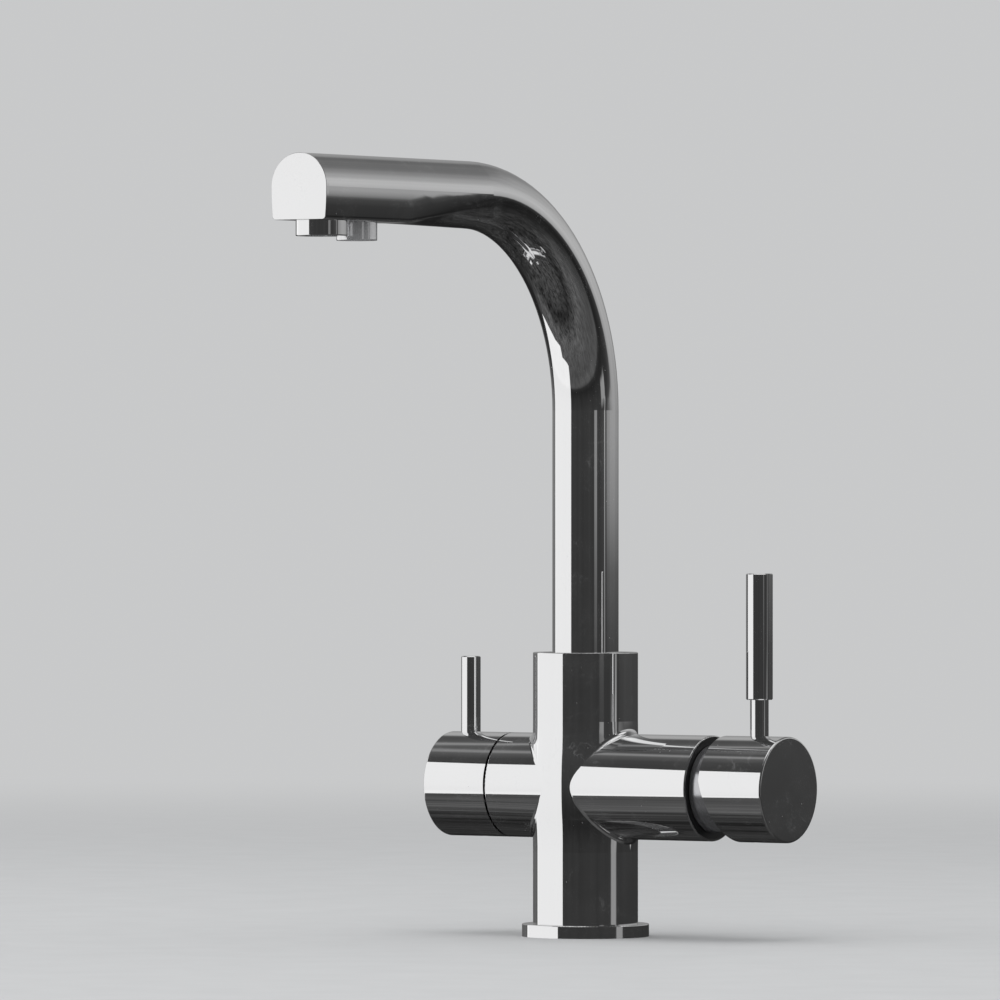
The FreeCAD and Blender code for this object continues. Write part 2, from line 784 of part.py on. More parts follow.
def cartridge_moving_pieces():
    middle = d.arm_height
    # The carrier turns in the housing; its slot lets the stem tilt up and down
    barrel_r = cavity_r - d.running_gap
    neck_r = half(d.carrier_neck_diameter)
    barrel = [
        (carrier_near, 0),
        (carrier_near, barrel_r),
        (carrier_step, barrel_r),
        (carrier_step, neck_r),
        (carrier_far, neck_r),
        (carrier_far, 0),
    ]
    rail_near = carrier_near - d.rail_height
    rail_side = half(d.carriage_width) + d.clear_gap
    rail_sides = (d.rail_height + d.overrun, d.rail_width, d.rail_length)
    rail_foot = middle - half(d.rail_length)
    rails = [
        box("Rail", rail_sides, (rail_near, side, rail_foot))
        for side in (rail_side, -rail_side - d.rail_width)
    ]
    slot_width = d.stem_width + d.clear_gap * 2
    slot = box(
        "TiltSlot",
        (carrier_far - carrier_near + d.overrun * 2, slot_width, d.tilt_slot_length),
        (carrier_near - d.overrun, -half(slot_width), middle - half(d.tilt_slot_length)),
    )
    pin_r = half(d.pivot_pin_diameter)
    pin_start = -half(d.pivot_pin_length)
    pin_hole = cylinder(
        "PinHole",
        pin_r + d.seat_gap,
        d.carrier_neck_diameter + d.overrun * 2,
        (pivot_x, -neck_r - d.overrun, middle),
        "+Y",
    )
    solid = fuse("CarrierSolid", lathe("CarrierBarrel", barrel, "+X"), *rails)
    keep(cut("CartridgeCarrier", solid, slot, pin_hole), "cartridge_carrier")
    rod = cylinder("StemPivotPin", pin_r, d.pivot_pin_length, (pivot_x, pin_start, middle), "+Y")
    keep(rod, "stem_pivot_pin")

    # The ceramic disc and the carriage that the stem's ball pushes across
    disc_r = half(d.moving_disc_diameter)
    disc = lathe("MovingPlate", sleeve(0, disc_r, moving_disc_near, moving_disc_far), "+X")
    # Its pocket joins the three ports when the disc has moved up
    pocket_place = (moving_disc_near - d.overrun, 0, middle - d.mixing_pocket_drop)
    pocket_depth = half(d.disc_thickness) + d.overrun
    pocket_r = half(d.mixing_pocket_diameter)
    pocket = cylinder("MixingPocket", pocket_r, pocket_depth, pocket_place, "+X")
    keep(cut("MovingCeramicDisc", disc, pocket), "moving_ceramic_disc")
    carriage_near = moving_disc_far + d.seat_gap
    block = box(
        "CarriageBlock",
        (carriage_far - carriage_near, d.carriage_width, d.carriage_length),
        (carriage_near, -half(d.carriage_width), middle - half(d.carriage_length)),
    )
    socket_near = ball_x - half(d.ball_diameter) - d.ball_clearance
    socket_r = half(d.ball_diameter) + d.ball_clearance
    socket_length = carriage_far - socket_near + d.overrun
    socket = cylinder("BallSocket", socket_r, socket_length, (socket_near, 0, middle), "+X")
    keep(cut("DiscCarriage", block, socket), "disc_carriage")

    # The stem: ball, shank and square bar
    ball = doc.addObject("Part::Sphere", "StemBall")
    bind(ball, "Radius", half(d.ball_diameter))
    locate(ball, (ball_x, 0, middle))
    bar_near = pivot_x - d.stem_heel
    bar_far = mixer_boss_near + d.stem_engagement
    shank_length = bar_near - ball_x + d.overrun
    shank_r = half(d.stem_shank_diameter)
    shank = cylinder("StemShank", shank_r, shank_length, (ball_x, 0, middle), "+X")
    bar = box(
        "StemBar",
        (bar_far - bar_near, d.stem_width, d.stem_width),
        (bar_near, -half(d.stem_width), middle - half(d.stem_width)),
    )
    hole = cylinder(
        "StemHole",
        pin_r + d.running_gap,
        d.stem_width + d.overrun * 2,
        (pivot_x, -half(d.stem_width) - d.overrun, middle),
        "+Y",
    )
    stem = cut("CartridgeStem", fuse("StemSolid", ball, shank, bar), hole)
    keep(stem, "cartridge_stem")


def hub_shell(name, rear, end, boss_near, boss_r, along):
    """A handle's cap: a thin wall, a thick end and a boss on the axis inside."""
    c = d.handle_edge_radius
    end_near = end - d.handle_end_wall
    profile = [
        (boss_near, 0),
        (boss_near, boss_r),
        (end_near, boss_r),
        (end_near, handle_bore_r),
        (rear, handle_bore_r),
        (rear, handle_r),
        (end - c, handle_r),
        (end, handle_r - c),
        (end, 0),
    ]
    return lathe(name, profile, along, {6: ("right", c)})


def square_socket(name, width, near, far):
    """A square hole along an arm, a little wider than the bar that it takes."""
    side = width + d.seat_gap * 2
    corner = (near, -half(side), d.arm_height - half(side))
    return box(name, (far - near, side, side), corner)


def set_screw(name, x, boss_r, bar_width):
    """A set screw up through a handle's boss onto its bar, and the holes it goes through."""
    foot = d.arm_height - boss_r
    tip = d.arm_height - half(bar_width) - d.seat_gap * 2
    screw_r = half(d.handle_screw_diameter)
    rod = cylinder(f"{name}Rod", screw_r - d.seat_gap, tip - foot, (x, 0, foot))
    key = cylinder(f"{name}Key", half(d.hex_socket_diameter), half(tip - foot), (x, 0, foot))
    tapped = cylinder(f"{name}Hole", screw_r, boss_r, (x, 0, d.arm_height - boss_r - d.overrun))
    access_r = half(d.handle_screw_access_diameter)
    access_length = d.handle_wall + d.overrun * 2
    access_foot = d.arm_height - handle_r - d.overrun
    access = cylinder(f"{name}Access", access_r, access_length, (x, 0, access_foot))
    return cut(name, rod, key), [tapped, access]


def lever_hole(name, x, radius):
    """The hole in a handle's wall and boss that a lever is screwed into."""
    foot = d.arm_height + d.lever_seat_height - d.seat_gap
    return cylinder(name, radius + d.seat_gap, handle_r + d.overrun, (x, 0, foot))


def mixer_handle():
    boss_r = half(d.mixer_boss_diameter)
    shell = hub_shell("MixerShell", mixer_rear, mixer_end, mixer_boss_near, boss_r, "+X")
    # The lower half of the rear edge leans away from the arm, so that the handle can tilt
    reach = handle_r + d.overrun
    start = d.mixer_relief_start
    lean = d.mixer_handle_relief / (handle_r + start) * (reach + start)
    wedge = new_body("TiltRelief", (0, 0, d.arm_height))
    corners = [
        (mixer_rear - d.overrun, start),
        (mixer_rear - d.overrun, -reach),
        (mixer_rear + lean, -reach),
        (mixer_rear, start),
    ]
    relief = wedge.newObject("PartDesign::Pad", "ReliefPad")
    relief.Profile = draw(new_sketch(wedge, "XZ_Plane"), corners)
    relief.SideType = "Symmetric"
    bind(relief, "Length", reach * 2)
    screw, screw_holes = set_screw("MixerHandleScrew", mixer_lever_x, boss_r, d.stem_width)
    neck_r = half(d.lever_neck_diameter)
    socket_far = mixer_boss_near + d.stem_engagement + d.clear_gap
    hub = cut(
        "MixerHandleHub",
        shell,
        wedge,
        square_socket("StemSocket", d.stem_width, mixer_boss_near - d.overrun, socket_far),
        lever_hole("NeckHole", mixer_lever_x, neck_r),
        *screw_holes,
    )
    keep(hub, "mixer_handle_hub")
    keep(screw, "mixer_handle_screw")

    foot = d.arm_height + d.lever_seat_height
    grip_foot = d.arm_height + d.lever_neck_height
    neck_length = grip_foot + d.lever_stub_length - foot
    neck = cylinder("MixerLeverNeck", neck_r, neck_length, (mixer_lever_x, 0, foot))
    keep(neck, "mixer_lever_neck")
    grip_r = half(d.grip_diameter)
    hole_r = neck_r + d.seat_gap
    hole_top = d.lever_stub_length + d.clear_gap
    c = d.grip_chamfer
    grip = new_body("MixerLeverGrip", (mixer_lever_x, 0, grip_foot))
    profile = [
        (hole_r, 0),
        (grip_r - c, 0),
        (grip_r, c),
        (grip_r, d.grip_length - c),
        (grip_r - c, d.grip_length),
        (0, d.grip_length),
        (0, hole_top),
        (hole_r, hole_top),
    ]
    revolve(grip, draw(new_sketch(grip, "XZ_Plane"), profile), "V_Axis")
    keep(grip, "mixer_lever_grip")


def filter_valve_fixed():
    body = [
        (valve_near, valve_cavity_r),
        (valve_near, valve_r),
        (valve_flange_near, valve_r),
        (valve_flange_near, valve_flange_r),
        (valve_flange_far, valve_flange_r),
        (valve_flange_far, spindle_r + d.running_gap),
        (valve_step, spindle_r + d.running_gap),
        (valve_step, valve_cavity_r),
    ]
    keep(lathe("FilterValveBody", body, "-X"), "filter_valve_body")
    seal_near = valve_floor + d.seat_gap
    seal_far = seal_near + d.valve_seal_thickness
    seal = ported_plate("FilterValveSeal", valve_r, seal_near, seal_far)
    keep(seal, "filter_valve_seal")
    disc_r = valve_cavity_r - d.seat_gap
    disc = ported_plate("FilterFixedDisc", disc_r, valve_near, valve_disc_far)
    keep(disc, "filter_fixed_disc")


def ported_plate(name, radius, near, far):
    """A round plate of the filter valve with the way in and the way out through it."""
    start = -(far + d.overrun)
    length = far - near + d.overrun * 2
    ports = [
        cylinder(f"{name}Port", filter_way_r, length, (start, 0, height), "+X")
        for height in filter_way_heights
    ]
    return cut(name, lathe(f"{name}Plate", sleeve(0, radius, near, far), "-X"), *ports)


def filter_handle():
    plate = sleeve(0, turning_disc_r, turning_disc_near, turning_disc_far)
    # A groove across the disc joins the way in and the way out after a quarter turn
    reach = d.filter_passage_offset + filter_way_r
    width = d.valve_groove_width
    groove = box(
        "ValveGroove",
        (half(d.valve_disc_thickness) + d.overrun, reach * 2, width),
        (-turning_disc_near - half(d.valve_disc_thickness), -reach, d.arm_height - half(width)),
    )
    disc = cut("FilterMovingDisc", lathe("FilterMovingPlate", plate, "-X"), groove)
    keep(disc, "filter_moving_disc")

    # The spindle: a drive plate, a round shaft with a ring groove, and a square end
    section = d.spindle_ring_section
    groove_mid = half(valve_flange_near + valve_flange_far)
    groove_low = groove_mid - half(section) - d.seat_gap
    groove_high = groove_mid + half(section) + d.seat_gap
    groove_r = spindle_r - section
    shaft = [
        (drive_near, 0),
        (drive_near, turning_disc_r),
        (drive_far, turning_disc_r),
        (drive_far, spindle_r),
        (groove_low, spindle_r),
        (groove_low, groove_r),
        (groove_high, groove_r),
        (groove_high, spindle_r),
        (spindle_shoulder, spindle_r),
        (spindle_shoulder, 0),
    ]
    side = d.spindle_square
    square = box(
        "SpindleSquare",
        (spindle_far - spindle_shoulder + d.overrun, side, side),
        (-spindle_far, -half(side), d.arm_height - half(side)),
    )
    keep(fuse("FilterSpindle", lathe("SpindleShaft", shaft, "-X"), square), "filter_spindle")
    ring_r = spindle_r - half(section)
    o_ring = torus(
        "FilterSpindleRing",
        ring_r,
        half(section) - d.seat_gap,
        (-groove_mid, 0, d.arm_height),
        "+X",
    )
    keep(o_ring, "filter_spindle_o_ring")

    boss_r = half(d.filter_boss_diameter)
    shell = hub_shell("FilterShell", filter_rear, filter_end, filter_boss_near, boss_r, "-X")
    screw, screw_holes = set_screw("FilterHandleScrew", -filter_screw_x, boss_r, side)
    lever_r = half(d.filter_lever_diameter)
    # The round shoulder of the shaft ends inside the boss, in a bore of its own
    shoulder_bore = cylinder(
        "ShoulderBore",
        spindle_r + d.seat_gap,
        spindle_shoulder - filter_boss_near + d.overrun + d.seat_gap,
        (-spindle_shoulder - d.seat_gap, 0, d.arm_height),
        "+X",
    )
    socket = square_socket("SpindleSocket", side, -spindle_far - d.clear_gap, -filter_boss_near)
    hole = lever_hole("LeverHole", -filter_lever_x, lever_r)
    keep(cut("FilterHandleHub", shell, socket, shoulder_bore, hole, *screw_holes), "filter_handle_hub")
    keep(screw, "filter_handle_screw")

    c = d.grip_chamfer
    length = d.filter_lever_height - d.lever_seat_height
    lever = new_body("FilterLever", (-filter_lever_x, 0, d.arm_height + d.lever_seat_height))
    profile = [(0, 0), (lever_r, 0), (lever_r, length - c), (lever_r - c, length), (0, length)]
    revolve(lever, draw(new_sketch(lever, "XZ_Plane"), profile), "V_Axis")
    keep(lever, "filter_lever")


def round_outline(sketch, radius):
    """A circle in seven arcs, split where the head's outline has its corners."""
    upper = d.crease_upper_drop
    lower = d.crease_lower_drop
    upper_x = leg(radius, upper)
    lower_x = leg(radius, lower)
    corners = [
        (radius, 0),
        (0, radius),
        (-radius, 0),
        (-upper_x, -upper),
        (-lower_x, -lower),
        (lower_x, -lower),
        (upper_x, -upper),
    ]
    return draw(sketch, corners, {i: ("left", radius) for i in range(len(corners))})


def head_outline(sketch, wall):
    """The head's arch: a half round on sides that curve in a little towards small corners
    below. A wall thickness gives the outline of the space inside."""
    side = head_arc_r - wall
    corner = d.head_corner_radius
    side_r = d.head_side_radius - wall
    floor = head_floor + wall - d.spout_height
    arc_height = head_arc_height - d.spout_height
    side_foot = side - side_r + leg(side_r, arc_height - floor - corner)
    corners = [
        (side, arc_height),
        (0, arc_height + side),
        (-side, arc_height),
        (-side_foot, floor + corner),
        (-side_foot + corner, floor),
        (side_foot - corner, floor),
        (side_foot, floor + corner),
    ]
    radii = {0: side, 1: side, 2: side_r, 3: corner, 5: corner, 6: side_r}
    return draw(sketch, corners, {i: ("left", radius) for i, radius in radii.items()})


def spout_form(name, radius, wall, foot, far):
    """The spout's outside, or the space inside it: a bent tube that turns into an arch."""
    body = new_body(name, towards="-Y")
    path = new_sketch(body, "XZ_Plane")
    corners = [(0, foot), (0, bend_start), (d.bend_radius, d.spout_height)]
    draw(path, corners, {1: ("right", d.bend_radius)}, closed=False)
    tube = body.newObject("PartDesign::AdditivePipe", f"{name}Tube")
    tube.Profile = draw_circle(new_sketch(body, "XY_Plane", out=foot), radius)
    tube.Spine = path
    blend = body.newObject("PartDesign::AdditiveLoft", f"{name}Blend")
    level = d.spout_height
    blend.Profile = round_outline(new_sketch(body, "YZ_Plane", up=level, out=d.bend_radius), radius)
    blend.Sections = [head_outline(new_sketch(body, "YZ_Plane", up=level, out=head_start), wall)]
    head = body.newObject("PartDesign::Pad", f"{name}Head")
    head.Profile = head_outline(new_sketch(body, "YZ_Plane", up=level, out=head_start), wall)
    bind(head, "Length", far - head_start)
    return body


def outlet_hole(name, reach, radius):
    depth = d.tube_wall + d.overrun * 2
    return cylinder(name, radius + d.seat_gap, depth, (0, -reach, head_floor - d.overrun))


def spout_shell():
    outside = spout_form("SpoutOutside", tube_r, 0, tube_foot, head_end)
    beyond = head_end + d.overrun
    inside = spout_form("SpoutInside", tube_bore_r, d.tube_wall, tube_foot - d.overrun, beyond)
    tube = cut(
        "SpoutTube",
        outside,
        inside,
        outlet_hole("MainHole", main_outlet_reach, half(d.main_thread_diameter)),
        outlet_hole("FilterHole", d.filter_outlet_reach, half(d.filter_thread_diameter)),
    )
    keep(tube, "spout_tube")
    cap = new_body("SpoutEndCap", towards="-Y")
    plate = cap.newObject("PartDesign::Pad", "CapPlate")
    sketch = new_sketch(cap, "YZ_Plane", up=d.spout_height, out=head_end)
    plate.Profile = head_outline(sketch, 0)
    bind(plate, "Length", d.cap_thickness)
    doc.recompute()
    front = max(range(len(plate.Shape.Faces)), key=lambda i: plate.Shape.Faces[i].CenterOfMass.x)
    edge = cap.newObject("PartDesign::Chamfer", "CapEdge")
    edge.Base = (plate, [f"Face{front + 1}"])
    bind(edge, "Size", d.cap_chamfer)
    keep(cap, "spout_end_cap")


def spout_joint():
    """The hub that the spout turns on, its rings and the screw that holds it down."""
    collar_r = tube_bore_r - d.seat_gap
    collar_top = tube_foot + d.hub_collar_length
    bore_r = half(d.hub_bore_diameter)
    section = d.o_ring_section
    groove_r = hub_r - section
    ring_heights = [hub_foot + d.o_ring_inset, tube_seat - d.o_ring_inset]
    outline = [(bore_r, hub_foot), (hub_r, hub_foot)]
    grooves = [
        (ring_heights[0], half(section) + d.seat_gap, groove_r),
        (lock_height, half(d.lock_groove_width), hub_r - d.lock_groove_depth),
        (ring_heights[1], half(section) + d.seat_gap, groove_r),
    ]
    for middle, reach, bottom in grooves:
        low = middle - reach
        high = middle + reach
        outline += [(hub_r, low), (bottom, low), (bottom, high), (hub_r, high)]
    outline += [(hub_r, tube_foot), (collar_r, tube_foot), (collar_r, collar_top), (bore_r, collar_top)]
    keep(lathe("SpoutHub", outline), "spout_hub")

    ring_r = hub_r - half(section)
    section_r = half(section) - d.seat_gap
    rings = [torus("SpoutRing", ring_r, section_r, (0, 0, height)) for height in ring_heights]
    keep(group("SpoutRings", *rings), "spout_o_rings")
    washer = ring(hub_r + d.clear_gap, tube_r - d.seat_gap, tube_seat, tube_seat + d.slip_ring_thickness)
    keep(lathe("SpoutSlipRing", washer), "spout_slip_ring")

    tip = hub_r - half(d.lock_groove_depth)
    shoulder = hub_socket_r + d.clear_gap
    tip_length = shoulder - tip + d.overrun
    screw_r = half(d.lock_screw_diameter) - d.seat_gap
    far = shoulder + d.lock_screw_length
    tip_rod = cylinder("LockTip", half(d.lock_tip_diameter), tip_length, (0, tip, lock_height), "+Y")
    rod = cylinder("LockRod", screw_r, d.lock_screw_length, (0, shoulder, lock_height), "+Y")
    key_r = half(d.hex_socket_diameter)
    key_length = d.hex_socket_depth + d.overrun
    key = cylinder("LockKey", key_r, key_length, (0, far - d.hex_socket_depth, lock_height), "+Y")
    keep(cut("SpoutLockScrew", fuse("LockSolid", tip_rod, rod), key), "spout_lock_screw")


def filter_tube():
    """The inner tube: up the spout, round its bend and down into the filter outlet."""
    foot = filter_tube_foot
    turn = d.filter_tube_turn_radius
    nozzle_top = head_floor + d.tube_wall + d.thread_engagement
    end = nozzle_top + d.clear_gap
    level_end = d.filter_outlet_reach - turn
    corners = [
        (0, foot),
        (0, bend_start),
        (d.bend_radius, d.spout_height),
        (level_end, d.spout_height),
        (d.filter_outlet_reach, d.spout_height - turn),
        (d.filter_outlet_reach, end),
    ]
    turns = {1: ("right", d.bend_radius), 3: ("right", turn)}
    body = new_body("SpoutFilterTube", towards="-Y")
    path = draw(new_sketch(body, "XZ_Plane"), corners, turns, closed=False)
    section = draw_circle(new_sketch(body, "XY_Plane", out=foot), filter_tube_r)
    draw_circle(section, filter_tube_r - d.filter_tube_wall)
    tube = body.newObject("PartDesign::AdditivePipe", "FilterPipe")
    tube.Profile = section
    tube.Spine = path
    keep(body, "spout_filter_tube")


def turned_at(name, reach, corners, turns=None):
    """A turned piece that hangs under the spout's head."""
    body = new_body(name, (0, -reach, head_floor))
    revolve(body, draw(new_sketch(body, "XZ_Plane"), corners, turns), "V_Axis")
    return body


def screen_holes(name, reach, radius, foot, length, rings):
    """Rings of small holes, each given as (radius of the ring, number of holes)."""
    holes = []
    for ring_radius, count in rings:
        for i in range(count):
            turn = 2 * math.pi * i / count
            x = ring_radius * math.cos(turn)
            y = ring_radius * math.sin(turn) - reach
            holes.append(cylinder(name, radius, length, (x, y, foot)))
    return holes


def outlet_boss(name, reach, thread_r, bore_r, label):
    """A threaded ring on the floor inside the head, with a shoulder at its top."""
    low = d.tube_wall + d.seat_gap
    high = d.tube_wall + d.boss_height
    step = high - d.boss_shoulder
    outer = thread_r + d.boss_wall
    inner = thread_r + d.seat_gap
    corners = [(inner, low), (outer, low), (outer, high), (bore_r, high), (bore_r, step), (inner, step)]
    keep(turned_at(name, reach, corners), label)


def main_outlet():
    reach = main_outlet_reach
    thread_r = half(d.main_thread_diameter)
    outer = half(d.main_outlet_diameter)
    inner = thread_r - d.aerator_wall
    top = d.tube_wall + d.thread_engagement
    c = d.edge_radius
    low = -d.main_outlet_drop
    shelf = low + d.aerator_lip
    outlet_boss("MainOutletBoss", reach, thread_r, inner, "main_outlet_boss")
    housing = [
        (inner - d.aerator_lip, low),
        (outer - c, low),
        (outer, low + c),
        (outer, -d.seat_gap),
        (thread_r, -d.seat_gap),
        (thread_r, top),
        (inner, top),
        (inner, shelf),
        (inner - d.aerator_lip, shelf),
    ]
    keep(turned_at("AeratorHousing", reach, housing, {1: ("left", c)}), "aerator_housing")
    insert_r = inner - d.seat_gap
    insert_low = shelf + d.seat_gap
    block = turned_at("AeratorBlock", reach, ring(0, insert_r, insert_low, top))
    rings = [(d.aerator_ring_spacing * i, count) for i, count in enumerate(AERATOR_RINGS)]
    length = top - insert_low + d.overrun * 2
    foot = head_floor + insert_low - d.overrun
    holes = screen_holes("AeratorHole", reach, half(d.aerator_hole_diameter), foot, length, rings)
    keep(cut("AeratorInsert", block, *holes), "aerator_insert")
    gasket_low = top + d.seat_gap
    gasket = ring(inner, thread_r, gasket_low, gasket_low + d.gasket_thickness)
    keep(turned_at("AeratorGasket", reach, gasket), "aerator_gasket")


def filter_outlet():
    reach = d.filter_outlet_reach
    thread_r = half(d.filter_thread_diameter)
    outer = half(d.filter_outlet_diameter)
    bore = half(d.nozzle_bore_diameter)
    top = d.tube_wall + d.thread_engagement
    c = d.edge_radius
    low = -d.filter_outlet_drop
    outlet_boss("FilterOutletBoss", reach, thread_r, filter_tube_r + d.seat_gap, "filter_outlet_boss")
    nozzle = [
        (bore, low),
        (outer - c, low),
        (outer, low + c),
        (outer, -d.seat_gap),
        (thread_r, -d.seat_gap),
        (thread_r, top),
        (bore, top),
    ]
    keep(turned_at("FilterNozzle", reach, nozzle, {1: ("left", c)}), "filter_nozzle")
    insert_r = bore - d.seat_gap
    insert_low = low + c
    insert_high = insert_low + d.nozzle_insert_depth
    block = turned_at("NozzleBlock", reach, ring(0, insert_r, insert_low, insert_high))
    rings = [(insert_r * NOZZLE_RING_SHARE, NOZZLE_HOLES)]
    length = d.nozzle_insert_depth + d.overrun * 2
    foot = head_floor + insert_low - d.overrun
    holes = screen_holes("NozzleHole", reach, half(d.nozzle_hole_diameter), foot, length, rings)
    keep(cut("FilterNozzleInsert", block, *holes), "filter_nozzle_insert")


def check(things):
    """Stops if any object failed to build or any sub-part is not a sound solid."""
    failed = [o.Label for o in doc.Objects if {"Invalid", "Error"} & set(o.State)]
    if failed:
        raise RuntimeError(f"these objects failed: {failed}")
    for thing in things:
        shape = thing.Shape
        if shape.isNull() or not shape.isValid() or not shape.Solids:
            raise RuntimeError(f"{thing.Label} is not a sound solid")


body_casting()
base_pieces()
cartridge_fixed_pieces()
cartridge_moving_pieces()
mixer_handle()
filter_valve_fixed()
filter_handle()
spout_shell()
spout_joint()
filter_tube()
main_outlet()
filter_outlet()
doc.recompute()
check(sub_parts)
os.makedirs("parts", exist_ok=True)
for thing in sub_parts:
    thing.Shape.exportStep(os.path.join("parts", f"{thing.Label}.step"))
print(f"{len(sub_parts)} sub-parts written")
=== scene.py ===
"""The looks of a three-way kitchen mixer tap: polished chrome in a soft studio.

Metres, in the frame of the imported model: +Z up, the origin on the body's axis at the deck, the
spout towards -Y and the mixer handle towards +X.
"""

import json
import math

import bpy
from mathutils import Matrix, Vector

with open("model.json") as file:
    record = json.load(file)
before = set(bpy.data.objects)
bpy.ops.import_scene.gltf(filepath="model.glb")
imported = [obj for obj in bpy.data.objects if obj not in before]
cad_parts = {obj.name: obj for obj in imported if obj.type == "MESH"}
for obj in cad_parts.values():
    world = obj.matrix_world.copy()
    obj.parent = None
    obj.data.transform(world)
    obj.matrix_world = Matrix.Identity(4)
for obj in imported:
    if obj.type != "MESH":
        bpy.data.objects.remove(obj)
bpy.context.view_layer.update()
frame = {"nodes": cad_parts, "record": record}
nodes = frame["nodes"]
slot_of = {part["node"]: part["material_slot"] for part in frame["record"]["subparts"]}

# The camera stands level, to the front and right of the tap
CAMERA_AZIMUTH = math.radians(34.5)
CAMERA_DISTANCE = 4.5
CAMERA_HEIGHT = 0.2076
CAMERA_SIDE_STEP = 0.0407
CAMERA_REACH = 200.0
LENS_MM = 340.3
SENSOR_MM = 36.0
UP = Vector((0, 0, 1))
to_camera = Vector((math.sin(CAMERA_AZIMUTH), -math.cos(CAMERA_AZIMUTH), 0))
to_right = Vector((math.cos(CAMERA_AZIMUTH), math.sin(CAMERA_AZIMUTH), 0))


def beside_tap(right, near, up):
    """The point that lies so far to the right of the origin, towards the camera and up."""
    return to_right * right + to_camera * near + UP * up


# Soft boxes: their places, their widths and heights, and their powers in watts
LIT_POINT = Vector((0, 0, 0.2))
SIDE_BOX_PLACE = beside_tap(right=-0.7, near=-0.02, up=0.2215)
SIDE_BOX_SIZE = (1.16, 0.717)
SIDE_BOX_POWER = 2.32
SIDE_FILL_PLACE = beside_tap(right=-2.0, near=0.0, up=0.6)
SIDE_FILL_SIZE = (3.2, 2.0)
SIDE_FILL_POWER = 18.0
TOP_BOX_PLACE = Vector((0.2, -0.3, 2.4))
TOP_BOX_SIZE = (2.4, 2.4)
TOP_BOX_POWER = 26.0
FRONT_FILL_PLACE = beside_tap(right=0.0, near=3.0, up=1.5)
FRONT_FILL_SIZE = (2.0, 1.5)
FRONT_FILL_POWER = 10.0

# Backdrop and floor
PALE = (0.58, 0.585, 0.59, 1)
FLOOR_DARK = (0.55, 0.555, 0.56, 1)
FLOOR_LIGHT = (0.6, 0.605, 0.61, 1)
FLOOR_NOISE = {"scale": 30.0, "detail": 3.0}
FLOOR_SIDES = 96
FLOOR_RADIUS = 40.0
FLOOR_PLAIN_RADIUS = 0.9
FLOOR_FADE_RADIUS = 2.6

# Chrome plate: its two tints, and the marks on it, with scales in repeats to the metre
CHROME_DARK = (0.85, 0.852, 0.858, 1)
CHROME_LIGHT = (0.88, 0.88, 0.883, 1)
CHROME_NOISE = {"scale": 14.0, "detail": 2.0}
CHROME_ROUGHNESS = 0.02
SMUDGE_NOISE = {"scale": 38.0, "detail": 4.0, "roughness": 0.6}
SMUDGE_STOPS = [(0.45, 0.0), (0.75, 1.0)]
SMUDGE_ROUGHNESS = 0.03
SMUDGE_HAZE = 0.014
WIPE_NOISE = {"scale": 55.0, "detail": 3.0, "roughness": 0.55}
WIPE_STOPS = [(0.488, 0.0), (0.5, 1.0), (0.512, 0.0)]
WIPE_HAZE = 0.09
SPECK_SCALE = 260.0
SPECK_RADIUS_SHARE = 0.07
SPECK_PATCH_NOISE = {"scale": 60.0, "detail": 2.0}
SPECK_PATCH_LEVEL = 0.58
SPECK_ROUGHNESS = 0.3
SPECK_HAZE = 0.06

# Bare metal and moulded pieces: tool marks, tarnish, grain and mottling
BUMP_DEPTH = 0.0002
TOOL_MARK_NOISE = {"scale": 700.0, "detail": 4.0, "roughness": 0.7}
TOOL_MARK_ROUGHNESS = 0.12
TOOL_MARK_BUMP = 0.03
TARNISH_NOISE = {"scale": 55.0, "detail": 3.0}
GRAIN_NOISE = {"scale": 1400.0, "detail": 3.0, "roughness": 0.6}
GRAIN_ROUGHNESS = 0.15
MOTTLING_NOISE = {"scale": 90.0, "detail": 3.0}
STEEL_DARK = (0.54, 0.54, 0.56, 1)
STEEL_LIGHT = (0.64, 0.64, 0.66, 1)

# The room that the chrome mirrors, as stops of (place, level). By height the place runs from
# straight down to straight up, with the horizon half way. By turn it runs from behind the tap
# round by the left, the camera half way and the right to behind it again.
HORIZON = 0.5
CAMERA_TURN = 0.5
ROOM_BY_HEIGHT = [
    (0.0, 0.05), (0.05, 0.045), (0.082, 0.024), (0.09, 0.02), (0.112, 0.036), (0.142, 0.056),
    (0.18, 0.088), (0.25, 0.085), (0.34, 0.073), (0.382, 0.09), (0.392, 0.08), (0.402, 0.03),
    (0.42, 0.02), (0.45, 0.028), (0.485, 0.04), (0.81, 0.045), (0.86, 0.055), (0.885, 0.085),
    (0.897, 0.11), (0.9, 0.25), (0.9085, 0.25), (0.9105, 0.075), (0.915, 0.075), (0.935, 0.3),
    (0.965, 0.8), (1.0, 0.9),
]

# The rear of the floor has levels of its own, as far round as its turn says
REAR_BY_HEIGHT = [
    (0.0, 0.05), (0.05, 0.045), (0.082, 0.024), (0.09, 0.02), (0.15, 0.029), (0.25, 0.029),
    (0.33, 0.014), (0.44, 0.015), (0.465, 0.03), (0.485, 0.04), (0.5, 0.04),
]
REAR_BY_TURN = [(0.0, 1.0), (0.1, 1.0), (0.15, 0.0), (0.7, 0.0), (0.78, 1.0), (1.0, 1.0)]

